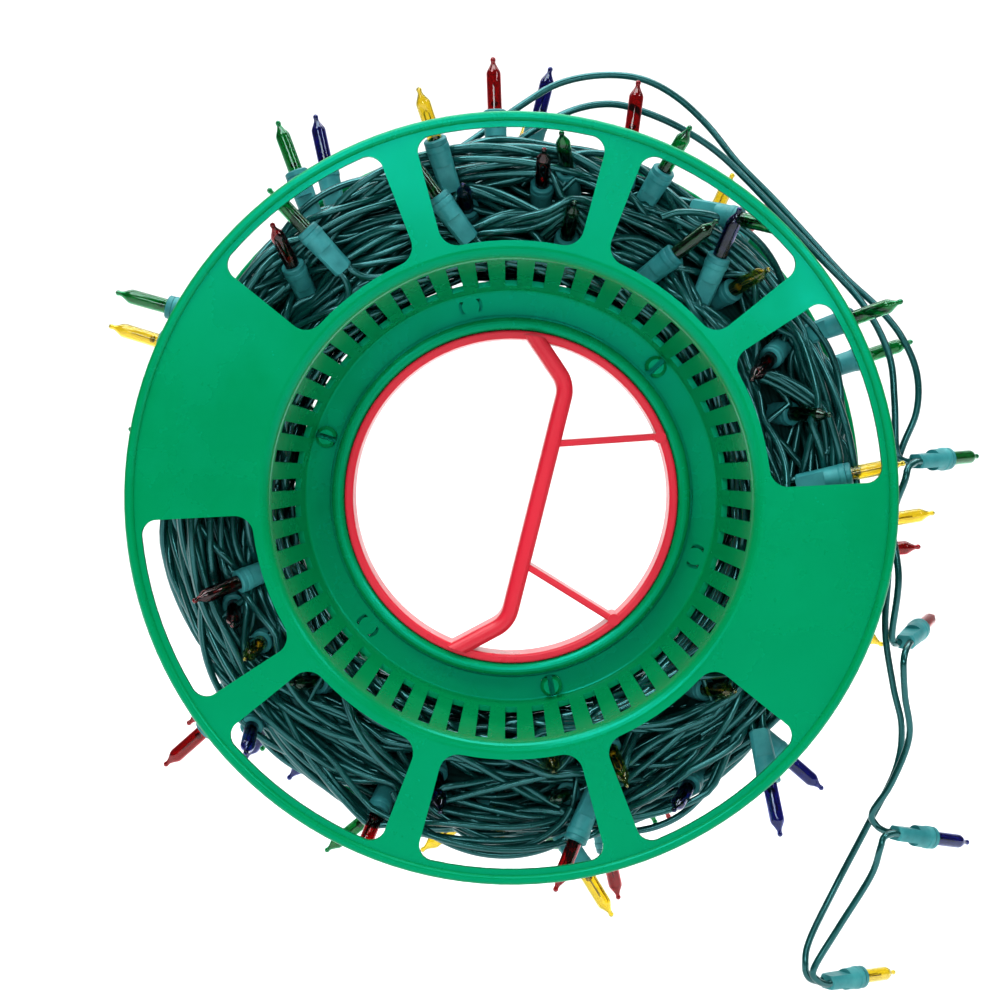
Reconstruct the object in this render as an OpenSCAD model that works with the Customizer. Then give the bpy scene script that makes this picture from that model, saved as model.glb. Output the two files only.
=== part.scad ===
// Open-hub storage reel wound with a string of miniature lamps.
// The reel turns freely on a stationary hand grip.  Its axis lies along Y, the
// front flange faces -Y, and the origin is on the axis, half way between the
// two flanges.  Two identical mouldings meet back to back in the middle plane
// and snap together with split posts, which traps the grip's rib between them.

/* [Reel] */
// Outside diameter of the flanges
flange_d = 250; // [235:1:280]
// Width over the two flanges
reel_w = 76; // [70:1:90]
// Thickness of the moulded walls
wall = 1.8; // [1.4:0.1:2.2]
// Diameter of the rolled bead round the rim
rim_bead_d = 3.2; // [2.6:0.1:4]
// How far the bead stands above the flange sheet
rim_step = 1.4; // [0.8:0.1:1.5]
// Depth of the flat that the bead rests on
rim_flat = 0.1; // [0.05:0.05:0.2]
// Length of the skirt below the flange sheet
skirt_h = 3.3; // [2:0.1:5]

/* [Windows] */
// Number of equal sectors in a flange
sectors = 10; // [10:2:12]
// Width of a spoke, in degrees
spoke_angle = 6; // [4:0.5:9]
// Band left between the windows and the rim
window_rim_band = 5; // [4:0.5:9]
// Inner radius of the windows
window_r = 83.9; // [83:0.1:92]
// Radius of the outer window corners
window_outer_corner = 5; // [3:0.5:7]
// Radius of the inner window corners
window_inner_corner = 6.2; // [3:0.2:8]

/* [Hub cone] */
// Inner radius of the cone at the flange face
cone_mouth_r = 78.9; // [77:0.1:79.5]
// Inner radius of the cone at the floor
cone_floor_r = 70.1; // [69.5:0.1:72]
// Radius of the shoulder between cone and flange
shoulder_r = 4; // [3:0.1:4.4]
// Number of slots round the cone
slots = 50; // [40:1:54]
// Width of a slot
slot_w = 4; // [3:0.1:4.6]
// Wall left between a slot and the floor
slot_low_margin = 4.7; // [3:0.1:8]
// Wall left between a slot and the flange face
slot_high_margin = 4.3; // [4:0.1:8]
// Thickness of the floor
floor_t = 2.2; // [1.8:0.1:3]

/* [Bearing] */
// Bore that the grip's ring turns in
bore_d = 113; // [110:0.5:114]
// Radial running clearance of the ring
ring_gap = 0.1; // [0.05:0.01:0.1]
// Thickness of the collar round the bore
collar_t = 4.3; // [3.6:0.1:4.8]
// Height of the collar above the middle plane
collar_h = 7.5; // [6.5:0.1:9]
// Width of the groove round the foot of the collar
groove_w = 1; // [0.6:0.1:1.2]
// Depth of that groove
groove_depth = 0.7; // [0.3:0.1:1]
// Depth of the channel for the rib, in the bore wall
channel_depth = 1.9; // [1.6:0.1:2.2]
// Width of the channel, shared by the two halves
channel_w = 3.4; // [3:0.1:4]
// Clearance of the rib in its channel, at each side
rib_gap = 0.2; // [0.15:0.05:0.3]
// Clearance over the rib's crest
rib_crest_gap = 0.3; // [0.2:0.05:0.4]

/* [Snap posts] */
// Radius of the circle of snap posts
snap_r = 66; // [65.7:0.1:66.2]
// Diameter of a post
snap_d = 6; // [5.4:0.1:6.2]
// Width of the slit through a post
snap_slit = 1.8; // [1.4:0.1:2.2]
// Reach of each barb past the post
snap_barb = 0.7; // [0.5:0.05:0.8]
// Height of the barbed head
snap_head_h = 3.2; // [2.6:0.1:4]
// Sideways clearance of a post in its hole
snap_gap = 0.15; // [0.1:0.05:0.25]

/* [Hand grip] */
// Thickness of the bearing ring
ring_t = 2.9; // [2.4:0.1:3.6]
// Width of the ring along the axis
ring_w = 14; // [12:0.5:15]
// Thickness of the grip bar
grip_t = 5.6; // [4.8:0.1:7]
// Depth of the grip bar along the axis
grip_depth = 17; // [14:0.5:22]
// Distance of the grip bar from the axis
grip_x = 9.1; // [6:0.1:14]
// Half height of the grip bar, to the corners
grip_reach = 41.5; // [38:0.5:43]
// Radius of the grip's elbows
elbow_r = 10; // [7:0.5:12]
// Turn of the grip at each elbow, in degrees
elbow_turn = 48; // [40:1:55]
// Thickness of the two braces
brace_t = 2.3; // [1.8:0.1:3]
// Where a brace meets the ring, in degrees
brace_angle = 36; // [32:1:42]
// Where a brace meets the grip, from its middle
brace_reach = 21; // [16:0.5:25]
// Diameter of the boss at the foot of a brace
boss_d = 4; // [3.4:0.1:4.6]
// Turn of the grip about the axis
grip_turn = -14; // [-30:1:30]
// Turn of the reel about the axis
reel_turn = -18; // [-36:1:36]

/* [Winding] */
// Outside radius of the winding
winding_r = 114; // [110:0.5:116]
// Gap between the winding and the flange sheets
winding_gap = 10.2; // [9:0.1:12]
// Radius of the innermost turns' middle line
winding_start_r = 84; // [84:0.5:88]
// Thickness of the doubled-up, twisted lead
lead_d = 5.2; // [4.8:0.1:5.6]
// Least gap between neighbouring turns
lead_gap = 0.55; // [0.5:0.01:1.2]
// Bend of the turns' middle line at the winding's corners
winding_corner_r = 8; // [7.6:0.2:10]
// Clearance between the winding and the cone
core_gap = 0.1; // [0.05:0.05:0.5]

/* [Lamps] */
// Diameter of the insulated wire
wire_d = 2.4; // [2:0.1:2.6]
// Length of a lamp holder
holder_l = 16.5; // [15:0.5:18]
// Diameter of the holder's collar
holder_d = 8; // [7.8:0.1:8.6]
// Diameter of the holder's body, below the collar
holder_body_d = 7.6; // [7.5:0.1:7.8]
// Diameter of the holder's foot, where the wires come in
holder_foot_d = 6.8; // [6.7:0.1:7.2]
// Distance across the two flats at the foot
holder_flats = 4.8; // [4.6:0.1:5.4]
// Bore of the holder
holder_bore = 6.2; // [6:0.1:6.3]
// Depth of the holder's bore
holder_bore_depth = 6.6; // [5.8:0.1:7]
// Diameter of the bulb's plastic base, over its rim
base_rim_d = 7.8; // [7.6:0.1:8.4]
// Height of that rim
base_rim_h = 1.8; // [1.2:0.1:2.4]
// Diameter of the glass
glass_d = 4.9; // [4.5:0.1:5.2]
// Length of a lamp, from the wire end to the glass tip
lamp_l = 36; // [33:0.5:38]
// Sliding fit of the base and of the glass, on the diameter
seat_gap = 0.1; // [0.06:0.02:0.2]
// Clearance between the lamps and the rim's skirt
lamp_clear = 0.5; // [0.4:0.1:3]

/* [Hidden] */

$fn = 96;
eps = 0.01;
over = 1;

FLANGE = "#009a5c";
GRIP = "#e5182d";
WIRE = "#1f5c50";
HOLDER = "#3f8c8c";
BASE = "#357878";
RED = "#8e1020";
GREEN = "#0d6b34";
BLUE = "#28247c";
YELLOW = "#e3b416";

// flange: heights are measured from the middle plane of the reel
flange_r = flange_d / 2;
half_w = reel_w / 2;
face_z = half_w - rim_step;
back_z = face_z - wall;
bead_r = rim_bead_d / 2;
bead_x = flange_r - bead_r;
bead_z = half_w + rim_flat - bead_r;
sector = 360 / sectors;

// cone: the wall keeps its thickness, measured square to its slope
cone_tan = (cone_mouth_r - cone_floor_r) / (face_z - floor_t);
cone_angle = atan(cone_tan);
wall_r = wall / cos(cone_angle);
function cone_in(z) = cone_floor_r + (z - floor_t) * cone_tan;
function cone_out(z) = cone_in(z) + wall_r;
shoulder_z = face_z - shoulder_r;
shoulder_x = cone_in(shoulder_z) + shoulder_r / cos(cone_angle);
floor_fillet = 1;

// bearing
bore_r = bore_d / 2;
collar_r = bore_r + collar_t;
ring_r = bore_r - ring_gap;
ring_in_r = ring_r - ring_t;
channel_r = bore_r + channel_depth;
rib_r = channel_r - rib_crest_gap;
rib_w = channel_w - 2 * rib_gap;
ring_edge = 0.8;

// snap posts: barbs stand at the sides, so that slit and hole line up radially
snap_count = 3;
snap_lift = 0.1;
snap_neck = snap_d / 2;
snap_tip = snap_neck - 0.5;
snap_lip = 1.2;
relief_w = 1.1;
relief_l = 0.7 * snap_d;

// grip
grip_edge = 2.2;
brace_edge = 0.8;
brace_w = ring_w;
elbow_tangent = elbow_r * tan(elbow_turn / 2);
grip_straight = grip_reach - elbow_tangent;
brace_root = [grip_x + grip_t / 2 - brace_t, brace_reach];
brace_end = (ring_r - ring_t / 2) * [cos(brace_angle), sin(brace_angle)];
boss_r = ring_r - boss_d / 2 - 0.2;
boss_w = ring_w + 1.2;

// winding: the turns follow a C-shaped path over a plain core
RINGS_PER_TURN = 24;
LEAD_SIDES = 6;
winding_half_w = back_z - winding_gap;
turn_r = winding_r - lead_d / 2;
turn_h = winding_half_w - lead_d / 2;
side_run = turn_r - winding_corner_r - winding_start_r;
corner_run = winding_corner_r * PI / 2;
top_run = 2 * (turn_h - winding_corner_r);
path_run = 2 * side_run + 2 * corner_run + top_run;
turns = floor(path_run / (lead_d + lead_gap));
turn_pitch = path_run / turns;
turn_sag = turn_r * (1 - cos(180 / RINGS_PER_TURN));
core_r = turn_r - lead_d / 2 - turn_sag;
core_h = turn_h - lead_d / 2;
core_corner = winding_corner_r - lead_d / 2;
end_bend = lead_d;
end_angle = 108;
pocket_r = lead_d / 2 + 3;

// lamps
husk_d = holder_bore - seat_gap;
husk_z = holder_l - holder_bore_depth;
glass_z = husk_z + 2;
rim_z = holder_l + base_rim_h;
tip_r = 0.9;
neck_r = 0.8;
holder_edge = 0.6;
collar_z = holder_l - 2.5;
flats_h = husk_z - 0.5;
lamp_roof = back_z - skirt_h - lamp_clear;
depth_step = (winding_r - cone_mouth_r) / 35.1;
width_step = winding_half_w / 25;

// side lamps: place round the axis, steps below the winding's outside, lean
// away from the radius, pitch out of the flange's plane, and colour
FRONT_LAMPS = [
    [136, 21, -23, 40, RED], [126, 21, 7, 9, GREEN], [101, 10, 7, 23, YELLOW],
    [99, 28, 28, 10, GREEN], [98.5, 22, 2, 71, BLUE], [78, 35, 0, 56, GREEN],
    [84, 19, 4, 57, RED], [78, 14, 24, 52, GREEN], [66, 10, -7, 32, GREEN],
    [60, 33, -22, 21, GREEN], [46, 24, 23, 26, BLUE], [45, 24, -15, 50, YELLOW],
    [58, 0, -75, 31, GREEN], [29, 2, -9, 31, GREEN], [30, 5, -167, 51, RED],
    [19, 26, -21, 55, GREEN], [3, 20, 9, 10, YELLOW], [291, 35, 5, 51, YELLOW],
    [317, 1, -37, 19, BLUE], [306, 1, -87, 62, BLUE], [311, 27, 60, 62, YELLOW],
    [252, 26, 30, 57, BLUE], [284, 10, -116, 70, GREEN], [286, 12, -40, 20, RED],
    [279, 33, -1, 75, YELLOW], [219, 1, 54, 70, BLUE], [247, 11, 0, 50, RED],
    [196, 34, 6, 35, RED], [209, 21, 21, 75, YELLOW], [198, 14, 93, 72, RED],
    [228, 28, -63, 65, GREEN]];
REAR_LAMPS = [
    [130, 8, 10, 12, RED], [112, 24, -16, 16, GREEN], [88, 12, 22, 20, YELLOW],
    [72, 26, 0, 55, BLUE], [52, 16, 14, 10, RED], [28, 20, -20, 35, YELLOW],
    [8, 10, 6, 14, GREEN], [344, 26, 30, 55, RED], [318, 12, -12, 18, BLUE],
    [296, 22, 24, 12, YELLOW], [268, 8, -30, 40, GREEN], [242, 18, 8, 14, RED],
    [220, 26, -6, 55, GREEN], [196, 10, 16, 16, YELLOW]];

// rim lamps, square to the axis: place round it, steps below the winding's
// outside, lean away from the radius, steps in front of the middle plane, colour
RIM_LAMPS = [
    [125.5, 1.5, -15.5, 14, GREEN], [122, 3, -20, 2, BLUE], [92.5, 2.5, -0.5, 8, RED],
    [87.5, 1.5, -11.5, -10, BLUE], [70, 4.5, 12.5, 14, RED], [52, 14.5, 13, -10, YELLOW],
    [148.5, 1.5, 16, 20, GREEN], [155, 1.5, 8, 4, YELLOW], [216.5, 1.5, 5, 12, RED],
    [214, 11.5, 5, -8, RED], [225, 25, 2, -9, GREEN], [233.5, 25, -6, -2, BLUE],
    [250, 3.5, -31, -16, GREEN], [268.5, 10.5, -52, -10, YELLOW],
    [262.5, 26, 21, 6, YELLOW], [278, 1.5, 23.5, 12, YELLOW], [285.5, 2, -2.5, -14, RED],
    [293.5, 24.5, 1, -8, GREEN], [316, 1.5, 3, -4, BLUE], [22, 1.5, -4, -9, GREEN],
    [354, 1.5, 15, -12, YELLOW], [349, 3.5, 15, -20, RED], [340, 9, -8, -14, YELLOW]];

// tail lamps: wire end in route steps, heading away from the front, rise, and
// colour
route_step = flange_r / 125;
TAIL_LAMPS = [
    [[138, 0, 12], 41, 2, GREEN], [[135, 0, -50], 62, 9, RED],
    [[132, 0, -116], 31, -12, BLUE], [[109, 0, -168], 38, -5, YELLOW]];

// free wires in route steps, from the winding down to the last lamp
RETURN_ROUTE = [
    [-46, 0, 100], [-31, -1, 109], [-13, -1, 121], [4, 0, 133], [16, 1, 140],
    [30, 2, 143], [44, 3, 142], [56, 3, 136], [67, 3, 126], [77, 4, 114],
    [89, 4, 102], [102, 4, 88], [114, 4, 75], [126, 4, 64], [134, 4, 54],
    [139, 4, 42], [139, 4, 29], [134, 4, 16], [129, 4, -2], [130, 4, -24],
    [129, 4, -46], [132, 4, -66], [135, 4, -80], [133, 4, -95], [124, 5, -114],
    [113, 4, -135], [103, -1, -153]];
FEED_ROUTE_1 = [
    [-22, 2, 107], [-7, 2, 114], [7, 1, 124], [21, 0, 131], [34, 0, 133],
    [46, 0, 130], [59, 0, 124], [72, 0, 115], [88, 0, 99], [104, -1, 82],
    [119, -1, 66], [128, -2, 49], [130, -3, 33]];
FEED_ROUTE_2 = [[129, -6, -8], [131, -8, -27]];
FEED_ROUTE_3 = [[134, -6, -68], [136, -4, -82], [130, -4, -98]];
FEED_ROUTE_4 = [[123, -5, -130], [112, -5, -148]];
WIRE_SIDES = 8;
wire_entry = 2;
wire_bend = 2.5 * wire_d;

function unit(v) = v / norm(v);

// points of an arc, from angle a0 to a1
function arc(cx, cy, r, a0, a1, n) =
    [for (i = [0:n]) let (a = a0 + (a1 - a0) * i / n) [cx + r * cos(a), cy + r * sin(a)]];

// outline of a rectangle with rounded corners, centred
function rounded(w, h, r) =
    let (x = w / 2 - r, y = h / 2 - r)
    concat(arc(x, y, r, 0, 90, 4), arc(-x, y, r, 90, 180, 4),
        arc(-x, -y, r, 180, 270, 4), arc(x, -y, r, 270, 360, 4));

// ---------------------------------------------------------------- sweeping

// one closed tube through the points, its rings turned by the ref vectors
module tube(points, refs, d, sides) {
    last = len(points) - 1;
    rings = [for (i = [0:last])
        let (t = unit(points[min(i + 1, last)] - points[max(i - 1, 0)]),
            b = unit(cross(t, refs[i])), a = cross(b, t))
        for (k = [0:sides - 1])
            let (w = 360 * k / sides) points[i] + d / 2 * (a * cos(w) + b * sin(w))];
    skin = [for (i = [0:last - 1]) for (k = [0:sides - 1])
        let (p = i * sides + k, q = i * sides + (k + 1) % sides)
        for (f = [[p, q, p + sides], [q, q + sides, p + sides]]) f];
    caps = [for (k = [1:sides - 2])
        for (f = [[0, k + 1, k], [last * sides, last * sides + k, last * sides + k + 1]]) f];
    polyhedron(rings, concat(skin, caps), convexity = 10);
}

module wire(route) {
    refs = [for (p = route) [0, 1, 0]];
    color(WIRE) tube(route, refs, wire_d, WIRE_SIDES);
}

// -------------------------------------------------------------- reel halves

function half_profile() = concat(
    [[channel_r, 0], [cone_out(0), 0]],
    arc(shoulder_x, shoulder_z, shoulder_r - wall, 180 - cone_angle, 90, 4),
    [[flange_r - wall, back_z]],
    arc(flange_r - wall / 2, back_z - skirt_h + wall / 2, wall / 2, 180, 360, 6),
    arc(bead_x, bead_z, bead_r, 0, asin((half_w - bead_z) / bead_r), 5),
    arc(bead_x, bead_z, bead_r, 180 - asin((half_w - bead_z) / bead_r),
        180 - asin((face_z - bead_z) / bead_r), 5),
    arc(shoulder_x, shoulder_z, shoulder_r, 90, 180 - cone_angle, 6),
    arc(cone_in(floor_t + floor_fillet) - floor_fillet / cos(cone_angle),
        floor_t + floor_fillet, floor_fillet, -cone_angle, -90, 4),
    [[collar_r + groove_w, floor_t], [collar_r + groove_w, floor_t - groove_depth],
        [collar_r, floor_t - groove_depth]],
    arc(collar_r - collar_t / 2, collar_h - collar_t / 2, collar_t / 2, 0, 180, 8),
    [[bore_r, channel_w / 2], [channel_r, channel_w / 2]]);

// slice of a circle, symmetric about X
module wedge(half_angle) {
    reach = 2 * flange_r;
    polygon([[0, 0], [reach, -reach * tan(half_angle)], [reach, reach * tan(half_angle)]]);
}

module band(r1, r2, half_angle) {
    intersection() {
        difference() {
            circle(r2);
            circle(r1);
        }
        wedge(half_angle);
    }
}

// outline of one window: a piece of a ring with rounded corners
module window() {
    outer_r = flange_r - window_rim_band;
    half_angle = (sector - spoke_angle) / 2;
    ro = outer_r - window_outer_corner;
    ri = window_r + window_inner_corner;
    turn_o = asin(window_outer_corner / ro);
    turn_i = asin(window_inner_corner / ri);
    band(ri * cos(turn_i), ro * cos(turn_o), half_angle);
    band(ro * cos(turn_o) - over, outer_r, half_angle - turn_o);
    band(window_r, ri * cos(turn_i) + over, half_angle - turn_i);
    for (s = [-1, 1]) {
        rotate(s * (half_angle - turn_o)) translate([ro, 0]) circle(window_outer_corner);
        rotate(s * (half_angle - turn_i)) translate([ri, 0]) circle(window_inner_corner);
    }
}

module window_cuts() {
    for (k = [0:sectors - 1])
        if (k % (sectors / 2) != 0)
            rotate(k * sector) translate([0, 0, back_z - over])
                linear_extrude(wall + 2 * over) window();
}

module slot_cuts() {
    slot_z = floor_t + slot_low_margin;
    slot_h = face_z - slot_high_margin - slot_z;
    for (k = [0:slots - 1])
        rotate(k * 360 / slots)
            translate([cone_in(slot_z) - over, -slot_w / 2, slot_z])
                cube([cone_out(slot_z + slot_h) + over - cone_in(slot_z), slot_w, slot_h]);
}

// hole that the other half's post snaps into, long in the radial direction
module snap_hole() {
    hole_w = snap_d + 2 * snap_gap;
    hole_l = snap_d + 2 * snap_barb;
    translate([0, 0, -over]) intersection() {
        cylinder(d = hole_l, h = floor_t + 2 * over);
        translate([-hole_l, -hole_w / 2, 0]) cube([2 * hole_l, hole_w, floor_t + 2 * over]);
    }
}

// split post that reaches through the other half's floor
module snap_post() {
    head_z = -floor_t - snap_lift;
    post_h = floor_t + snap_lift;
    difference() {
        intersection() {
            union() {
                translate([0, 0, head_z - eps]) cylinder(d = snap_d, h = post_h + floor_t / 2);
                translate([0, 0, head_z - snap_lip]) cylinder(r = snap_neck + snap_barb, h = snap_lip);
                translate([0, 0, head_z - snap_head_h])
                    cylinder(r1 = snap_tip, r2 = snap_neck + snap_barb, h = snap_head_h - snap_lip);
            }
            translate([-snap_neck, -snap_d, head_z - snap_head_h])
                cube([snap_d, 2 * snap_d, snap_head_h + post_h + floor_t]);
        }
        translate([-snap_d, -snap_slit / 2, head_z - snap_head_h - over])
            cube([2 * snap_d, snap_slit, snap_head_h + post_h + over]);
    }
}

// gap beside the foot of a post, which lets the barb out of the mould
module post_relief() {
    translate([0, 0, -over]) intersection() {
        difference() {
            cylinder(r = snap_neck + relief_w, h = floor_t + 2 * over);
            translate([0, 0, -over]) cylinder(r = snap_neck, h = floor_t + 4 * over);
        }
        translate([-relief_l / 2, -snap_d, 0]) cube([relief_l, 2 * snap_d, floor_t + 2 * over]);
    }
}

module reel_half() {
    step = 360 / snap_count;
    color(FLANGE) union() {
        difference() {
            rotate_extrude() polygon(half_profile());
            window_cuts();
            slot_cuts();
            for (k = [0:snap_count - 1]) {
                rotate(k * step + step / 2) translate([snap_r, 0, 0]) snap_hole();
                rotate(k * step) translate([snap_r, 0, 0]) post_relief();
            }
        }
        for (k = [0:snap_count - 1])
            rotate(k * step) translate([snap_r, 0, 0]) snap_post();
    }
}

// local Z of the reel and grip is the axis, and points to the front
module on_axis(turn) rotate([90, 0, 0]) rotate([0, 0, turn]) children();

module front_half() on_axis(reel_turn) reel_half();

module rear_half() on_axis(reel_turn) rotate([0, 180, 0]) reel_half();

// --------------------------------------------------------------- hand grip

// straight bar from p, its outline square to the heading
module bar(p, heading, length, outline)
    translate([p[0], p[1], 0]) rotate([0, 0, heading]) rotate([90, 0, 90])
        linear_extrude(length) polygon(outline);

module bearing_ring() {
    x = ring_w / 2;
    inner = ring_in_r + ring_edge;
    outer = ring_r - ring_edge;
    rotate_extrude() polygon(concat(
        arc(outer, x - ring_edge, ring_edge, 0, 90, 3),
        arc(inner, x - ring_edge, ring_edge, 90, 180, 3),
        arc(inner, ring_edge - x, ring_edge, 180, 270, 3),
        arc(outer, ring_edge - x, ring_edge, 270, 360, 3),
        [[ring_r, -rib_w / 2], [rib_r, -rib_w / 2], [rib_r, rib_w / 2], [ring_r, rib_w / 2]]));
}

module grip_end(outline) {
    translate([grip_x - elbow_r, grip_straight, 0]) {
        rotate_extrude(angle = elbow_turn) translate([elbow_r, 0]) polygon(outline);
    }
    heading = 90 + elbow_turn;
    corner = [grip_x, grip_reach];
    start = corner + elbow_tangent * [cos(heading), sin(heading)];
    intersection() {
        bar(start, heading, flange_r / 3, outline);
        cylinder(r = ring_r - ring_t / 2, h = 2 * grip_depth, center = true);
    }
}

module handle() {
    outline = rounded(grip_t, grip_depth, grip_edge);
    brace = brace_end - brace_root;
    on_axis(grip_turn) color(GRIP) {
        bearing_ring();
        bar([grip_x, -grip_straight], 90, 2 * grip_straight, outline);
        for (m = [0, 1]) mirror([0, m, 0]) {
            grip_end(outline);
            bar(brace_root, atan2(brace[1], brace[0]), norm(brace),
                rounded(brace_t, brace_w, brace_edge));
            rotate(brace_angle) translate([boss_r, 0, 0])
                cylinder(d = boss_d, h = boss_w, center = true);
        }
    }
}

// ----------------------------------------------------------------- winding

// place of the turns' middle line, s along the C-shaped path: radius, height
function wound(s) =
    let (s1 = side_run, s2 = s1 + corner_run, s3 = s2 + top_run, s4 = s3 + corner_run,
        rc = winding_corner_r, w = 180 / (PI * rc))
    s < s1 ? [winding_start_r + s, turn_h]
    : s < s2 ? [turn_r - rc + rc * sin((s - s1) * w), turn_h - rc + rc * cos((s - s1) * w)]
    : s < s3 ? [turn_r, turn_h - rc - (s - s2)]
    : s < s4 ? [turn_r - rc + rc * cos((s - s3) * w), rc - turn_h - rc * sin((s - s3) * w)]
    : [turn_r - rc - (s - s4), -turn_h];

// end of the lead: a quarter bend into the core, then one thickness straight
function dive(side) =
    [for (a = [30, 60, 90]) [-side * end_bend * sin(a), side * (turn_h - end_bend * (1 - cos(a)))],
        [-side * end_bend, side * (turn_h - end_bend - lead_d)]];

function dive_points(side) =
    let (c = cos(end_angle), n = sin(end_angle))
    [for (d = dive(side)) [winding_start_r * c - d[0] * n, winding_start_r * n + d[0] * c, d[1]]];

function turn_points() =
    [for (i = [0:turns * RINGS_PER_TURN])
        let (a = end_angle + 360 * i / RINGS_PER_TURN, q = wound(turn_pitch * i / RINGS_PER_TURN))
        [q[0] * cos(a), q[0] * sin(a), q[1]]];

function reversed(list) = [for (i = [len(list) - 1:-1:0]) list[i]];

function lead_points() = concat(reversed(dive_points(1)), turn_points(), dive_points(-1));

function least_gap(points) =
    min([for (i = [0:len(points) - RINGS_PER_TURN / 2 - 1])
        for (j = [i + RINGS_PER_TURN / 2:min(i + 2 * RINGS_PER_TURN, len(points) - 1)])
            norm(points[i] - points[j])]) - lead_d;

module winding_turns() {
    points = lead_points();
    ends = len(dive_points(1));
    side_ref = [cos(end_angle), sin(end_angle), 0];
    refs = [for (i = [0:len(points) - 1])
        i < ends || i >= len(points) - ends ? side_ref : unit([points[i][0], points[i][1], 0])];
    echo(least_gap_between_turns = least_gap(points), turns = turns);
    on_axis(reel_turn) color(WIRE) tube(points, refs, lead_d, LEAD_SIDES);
}

module core_profile() {
    polygon(concat(
        [[cone_out(core_h) + core_gap, -core_h]],
        arc(core_r - core_corner, core_corner - core_h, core_corner, -90, 0, 4),
        arc(core_r - core_corner, core_h - core_corner, core_corner, 0, 90, 4),
        [[cone_out(core_h) + core_gap, core_h], [cone_out(0) + core_gap, 0]]));
}

module winding_core() {
    on_axis(reel_turn) color(WIRE) difference() {
        rotate_extrude() core_profile();
        for (side = [-1, 1]) {
            end = dive_points(side)[3];
            translate([end[0], end[1], side > 0 ? end[2] : end[2] - 2 * lead_d - end_bend])
                cylinder(r = pocket_r, h = 2 * lead_d + end_bend);
        }
    }
}

// ------------------------------------------------------------------- lamps

module lamp_holder() {
    color(HOLDER) difference() {
        union() {
            rotate_extrude() polygon(concat(
                [[0, 0], [holder_foot_d / 2 - holder_edge, 0], [holder_foot_d / 2, holder_edge],
                    [holder_body_d / 2, collar_z], [holder_d / 2, collar_z + holder_edge]],
                arc(holder_d / 2 - holder_edge, holder_l - holder_edge, holder_edge, 0, 90, 3),
                [[0, holder_l]]));
        }
        for (s = [-1, 1])
            translate([s * (holder_flats + holder_d) / 2, 0, flats_h / 2 - over / 2])
                cube([holder_d, 2 * holder_d, flats_h + over], center = true);
        translate([0, 0, husk_z]) cylinder(d = holder_bore, h = holder_l);
    }
}

module lamp_base() {
    rim_edge = 0.4;
    color(BASE) difference() {
        rotate_extrude() polygon([
            [0, husk_z], [husk_d / 2, husk_z], [husk_d / 2, holder_l], [base_rim_d / 2, holder_l],
            [base_rim_d / 2, rim_z - rim_edge], [base_rim_d / 2 - rim_edge, rim_z], [0, rim_z]]);
        translate([0, 0, glass_z]) cylinder(d = glass_d + seat_gap, h = lamp_l);
    }
}

// sealed glass tube, drawn in to a pinched tip
module lamp_glass() {
    shoulder = 0.8;
    r = glass_d / 2;
    neck_z = lamp_l - 2 * tip_r;
    cone_z = neck_z - 1.6 * r + neck_r;
    rotate_extrude() polygon(concat(
        [[0, glass_z], [r, glass_z]],
        arc(r - shoulder, cone_z - shoulder, shoulder, 0, 45, 2),
        [[neck_r, neck_z]],
        arc(0, lamp_l - tip_r, tip_r, -60, 90, 5)));
}

// stands a lamp at p, its axis along the heading and the rise
module aim(p, heading, rise) translate(p) rotate([0, 90 - rise, heading]) children();

// height of a side lamp's wire end, which keeps all of it under the flange
function side_height(pitch) =
    lamp_roof - max(rim_z * sin(pitch) + holder_d / 2 * cos(pitch),
        (lamp_l - glass_d) * sin(pitch) + glass_d / 2 * cos(pitch),
        lamp_l * sin(pitch) + tip_r);

module side_lamps(lamps, wanted) {
    for (l = lamps)
        if (wanted == "" || wanted == l[4]) {
            r = winding_r - depth_step * l[1];
            aim([r * cos(l[0]), r * sin(l[0]), side_height(l[3])], l[0] + l[2], l[3]) children();
        }
}

module front_lamps(wanted = "") rotate([90, 0, 0]) side_lamps(FRONT_LAMPS, wanted) children();

module rear_lamps(wanted = "")
    rotate([90, 0, 0]) rotate([0, 180, 0]) side_lamps(REAR_LAMPS, wanted) children();

module rim_lamps(wanted = "") {
    rotate([90, 0, 0])
        for (l = RIM_LAMPS)
            if (wanted == "" || wanted == l[4]) {
                r = winding_r - depth_step * l[1];
                aim([r * cos(l[0]), r * sin(l[0]), width_step * l[3]], l[0] + l[2], 0) children();
            }
}

module all_bulbs(colour)
    color(colour) {
        front_lamps(colour) lamp_glass();
        rear_lamps(colour) lamp_glass();
        rim_lamps(colour) lamp_glass();
    }

// -------------------------------------------------------------------- tail

function tail_dir(l) = [cos(l[2]) * cos(l[1]), cos(l[2]) * sin(l[1]), sin(l[2])];

function tail_side(l) = [-sin(l[1]), cos(l[1]), 0];

function tail_end(l) = route_step * l[0];

// a wire's last points at a lamp: a quarter bend, a straight run, the entry
// side: which of the two entries; from: +1 when it comes from above, -1 below
function entry(l, side, from) =
    let (u = tail_dir(l), e = tail_end(l) + side * wire_entry * tail_side(l), s = e - wire_d * u)
    [for (a = [90, 45]) s + wire_bend * (from * (1 - cos(a)) * [0, 0, 1] - sin(a) * u),
        s, e];

function return_points() = concat(route_step * RETURN_ROUTE, entry(TAIL_LAMPS[3], 1, 1));

function feed_points(i) =
    let (routes = [FEED_ROUTE_1, FEED_ROUTE_2, FEED_ROUTE_3, FEED_ROUTE_4])
    concat(i == 0 ? [] : reversed(entry(TAIL_LAMPS[i - 1], -1, -1)), route_step * routes[i],
        entry(TAIL_LAMPS[i], i < 3 ? 1 : -1, 1));

module at_tail(i) {
    l = TAIL_LAMPS[i];
    aim(tail_end(l), l[1], l[2]) children();
}

module tail_bulb(i) color(TAIL_LAMPS[i][3]) at_tail(i) lamp_glass();

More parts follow.
